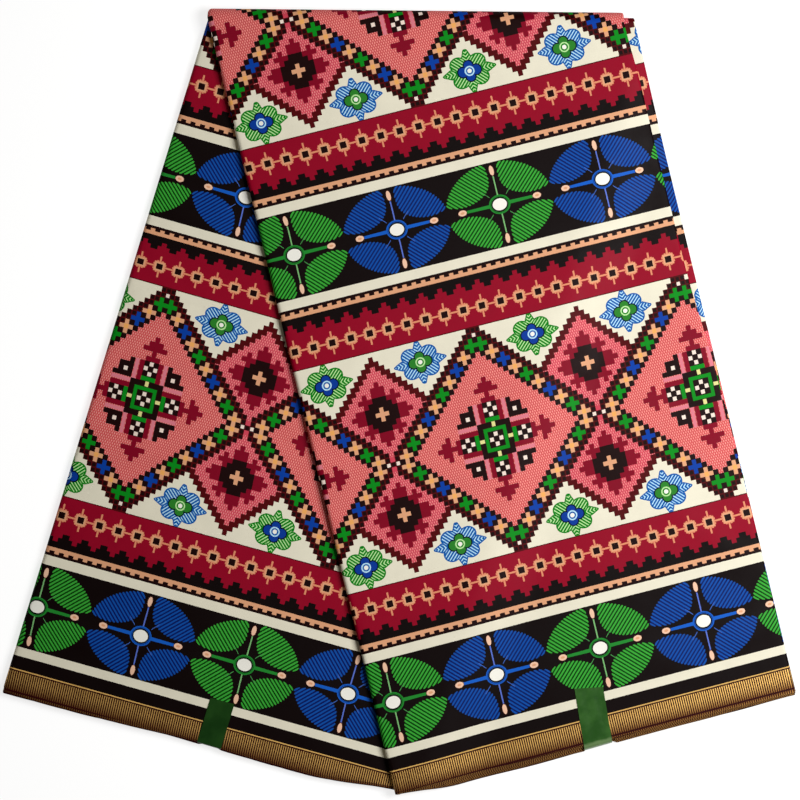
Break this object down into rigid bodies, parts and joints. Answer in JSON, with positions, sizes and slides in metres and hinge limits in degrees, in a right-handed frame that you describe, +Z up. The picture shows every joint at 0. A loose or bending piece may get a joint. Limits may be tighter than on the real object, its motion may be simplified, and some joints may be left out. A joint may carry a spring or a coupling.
{
  "type": "folded length of wax print cotton cloth",
  "caption": "Printed cotton cloth folded into a flat pile and laid over a crease as an upturned V, its two ends held by seal tapes; lies flat.",
  "frame": {"origin": "centre of the bounding box on the ground, under the cloth", "axes": "+Z up through the pile, +Y towards the crease, +X towards the open side of the front flap"},
  "size_m": [0.6194, 0.612, 0.0157],
  "materials": {
    "printed_face": "waxed cotton print with a soft sheen: crimson, salmon, cream, black, green and blue",
    "leaf_edges": "cotton leaves seen on edge, dark brown",
    "seal_tape": "thin green film tape, bare of print"
  },
  "bodies": {
    "root": {"front_leaf": "printed_face", "back_leaf": "printed_face", "ledge_leaf": "printed_face", "front_under_leaf": "printed_face", "back_under_leaf": "printed_face", "hidden_leaves": "leaf_edges", "front_tape": "seal_tape", "back_tape": "seal_tape"}
  },
  "joints": []
}
